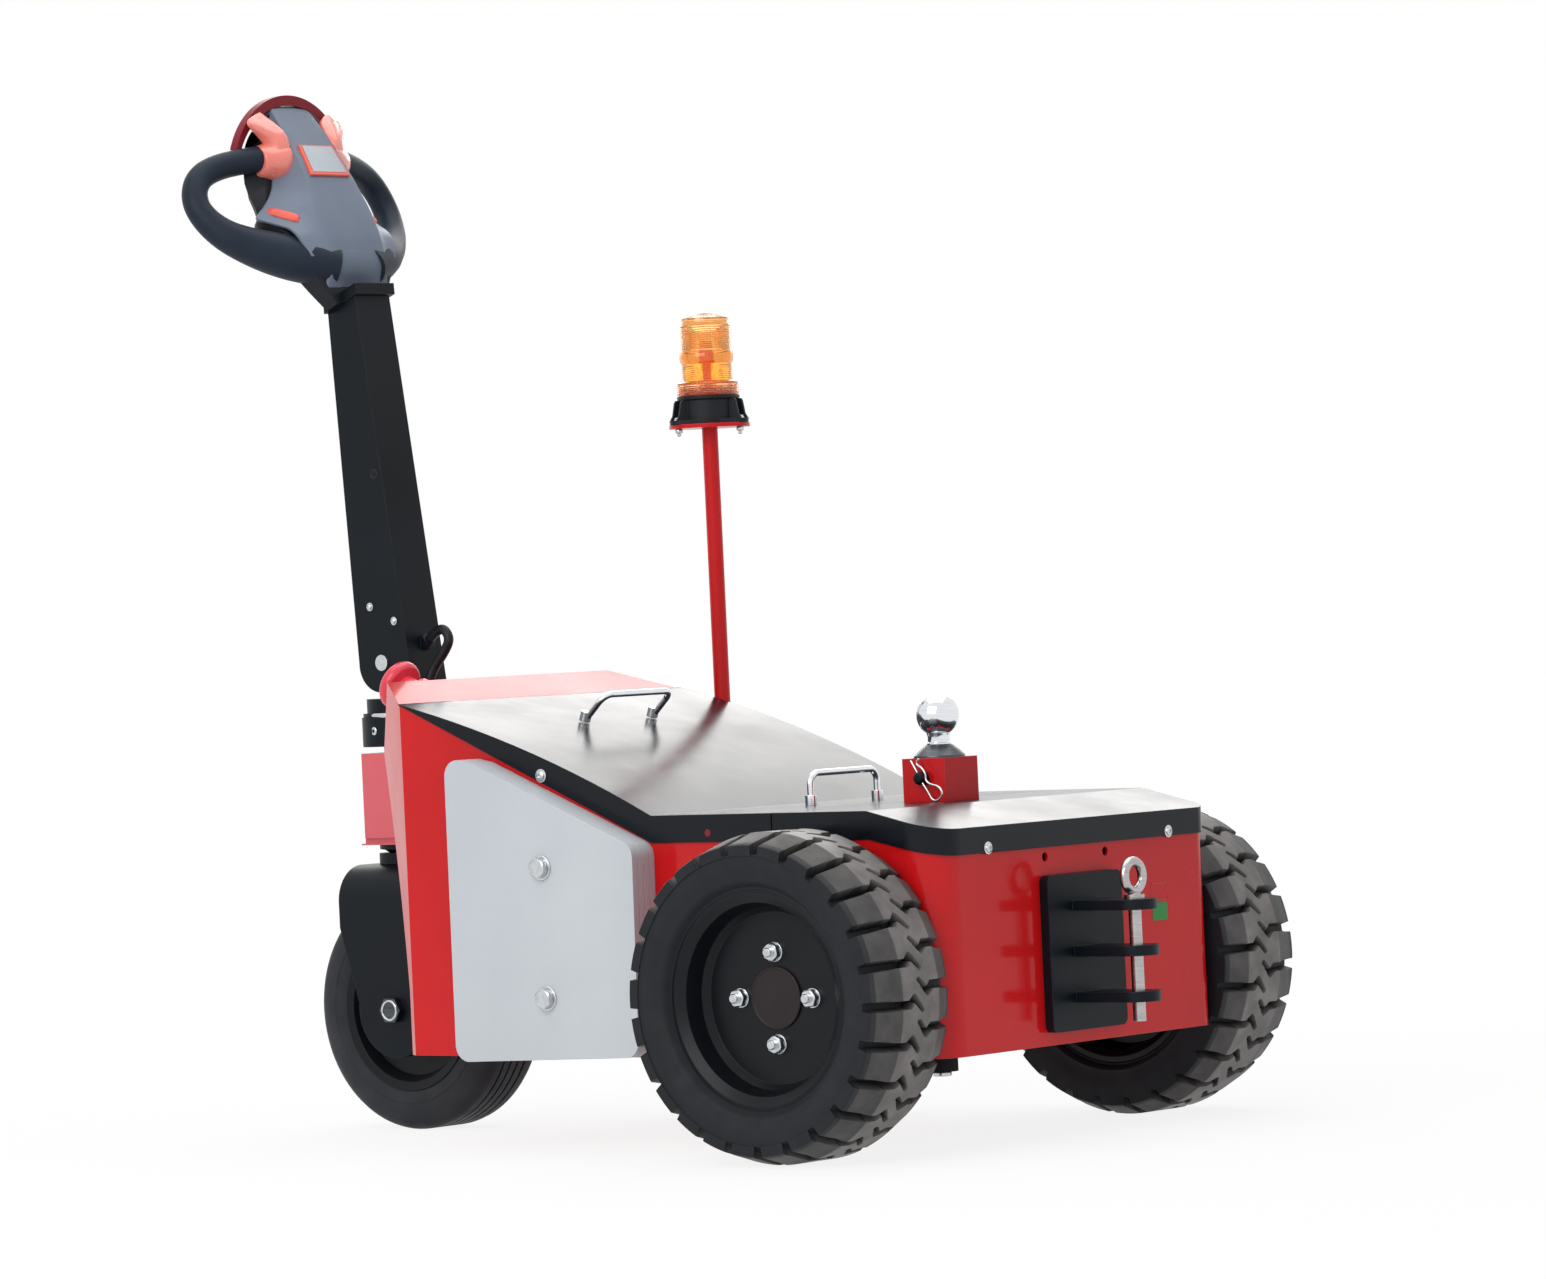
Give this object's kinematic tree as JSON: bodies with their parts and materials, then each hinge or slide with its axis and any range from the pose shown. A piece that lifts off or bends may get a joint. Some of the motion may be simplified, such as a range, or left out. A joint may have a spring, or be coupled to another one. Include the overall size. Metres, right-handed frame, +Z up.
{
  "type": "pedestrian electric tow tug",
  "caption": "Walk-behind electric tow tug: steered tiller with hand loops, red sheet body, lug-tyred drive wheels, swivel wheel, tow ball, pin hitch and beacon.",
  "frame": {"origin": "middle of the bounding box's bottom face, on the floor under the body", "axes": "+X towards the hitch end, +Y towards the right-hand drive wheel seen from behind the tiller, +Z up"},
  "size_m": [1.3283, 0.816, 1.3104],
  "materials": {
    "body_red": "gloss red paint on folded steel sheet",
    "trim_red": "red paint on pole and post",
    "lid_black": "gloss black powder coat",
    "ballast_grey": "light grey paint on steel plate",
    "frame_black": "satin black paint",
    "tyre_rubber": "black solid rubber, worn brown on the tread",
    "rim_black": "satin black paint",
    "zinc": "zinc-plated steel",
    "chrome": "bright chrome plate",
    "console_grey": "slate grey moulded plastic",
    "housing_black": "black moulded plastic",
    "grip_black": "black moulded grip",
    "control_orange": "orange-red moulded plastic",
    "belly_red": "dark red moulded plastic",
    "stop_red": "red moulded plastic",
    "amber": "amber ribbed lens",
    "cast_iron": "dark painted casting",
    "cable_black": "black cable sheath",
    "battery_case": "black battery case"
  },
  "bodies": {
    "chassis": {"chassis_shell": "body_red", "battery_pack": "battery_case", "drive_motor": "cast_iron", "drive_axle": "cast_iron", "headstock": "body_red", "ballast_left": "ballast_grey", "ballast_right": "ballast_grey", "rear_cover": "lid_black", "ball_post": "trim_red", "tow_ball": "chrome", "ball_mount_pin": "frame_black", "hitch_bracket": "frame_black", "beacon_pole": "trim_red", "beacon_base": "housing_black", "beacon_lens": "amber", "emergency_stop": "stop_red"},
    "front_lid": {"front_cover": "lid_black", "front_grab_handle": "chrome", "rear_grab_handle": "chrome"},
    "steering": {"steering_fork": "frame_black", "swivel_axle": "zinc", "steering_shaft": "frame_black", "clamp_collar": "frame_black", "tiller_neck": "frame_black"},
    "tiller": {"tiller_arm": "frame_black", "tilt_pin": "zinc", "tiller_cable": "cable_black", "head_housing": "housing_black", "head_console": "console_grey", "hand_loops": "grip_black", "belly_bar": "belly_red", "throttles": "control_orange", "head_display": "control_orange"},
    "swivel_wheel": {"swivel_tyre": "tyre_rubber", "swivel_wheel_centre": "rim_black"},
    "drive_wheel_left": {"drive_tyre_left": "tyre_rubber", "drive_rim_left": "rim_black"},
    "drive_wheel_right": {"drive_tyre_right": "tyre_rubber", "drive_rim_right": "rim_black"},
    "drop_pin": {"hitch_pin": "zinc"}
  },
  "joints": [
    {"name": "drive_left_spin", "type": "hinge", "parent": "chassis", "child": "drive_wheel_left", "pos_m": [0.3931, -0.334, 0.189], "axis": [0, 1, 0], "continuous": true},
    {"name": "drive_right_spin", "type": "hinge", "parent": "chassis", "child": "drive_wheel_right", "pos_m": [0.3931, 0.334, 0.189], "axis": [0, 1, 0], "continuous": true},
    {"name": "steer", "type": "hinge", "parent": "chassis", "child": "steering", "pos_m": [-0.4969, 0, 0.4], "axis": [0, 0, 1], "range_deg": [-90, 90]},
    {"name": "swivel_spin", "type": "hinge", "parent": "steering", "child": "swivel_wheel", "pos_m": [-0.4639, 0, 0.152], "axis": [0, 1, 0], "continuous": true},
    {"name": "tiller_tilt", "type": "hinge", "parent": "steering", "child": "tiller", "pos_m": [-0.4899, 0, 0.585], "axis": [0, -1, 0], "range_deg": [0, 80], "stiffness_Nm_per_rad": 24, "springref_deg": -57.3},
    {"name": "front_lid_lift", "type": "slide", "parent": "chassis", "child": "front_lid", "axis": [0, 0, 1], "range_m": [0, 0.2]},
    {"name": "hitch_pin_lift", "type": "slide", "parent": "chassis", "child": "drop_pin", "axis": [0, 0, 1], "range_m": [0, 0.16]}
  ]
}
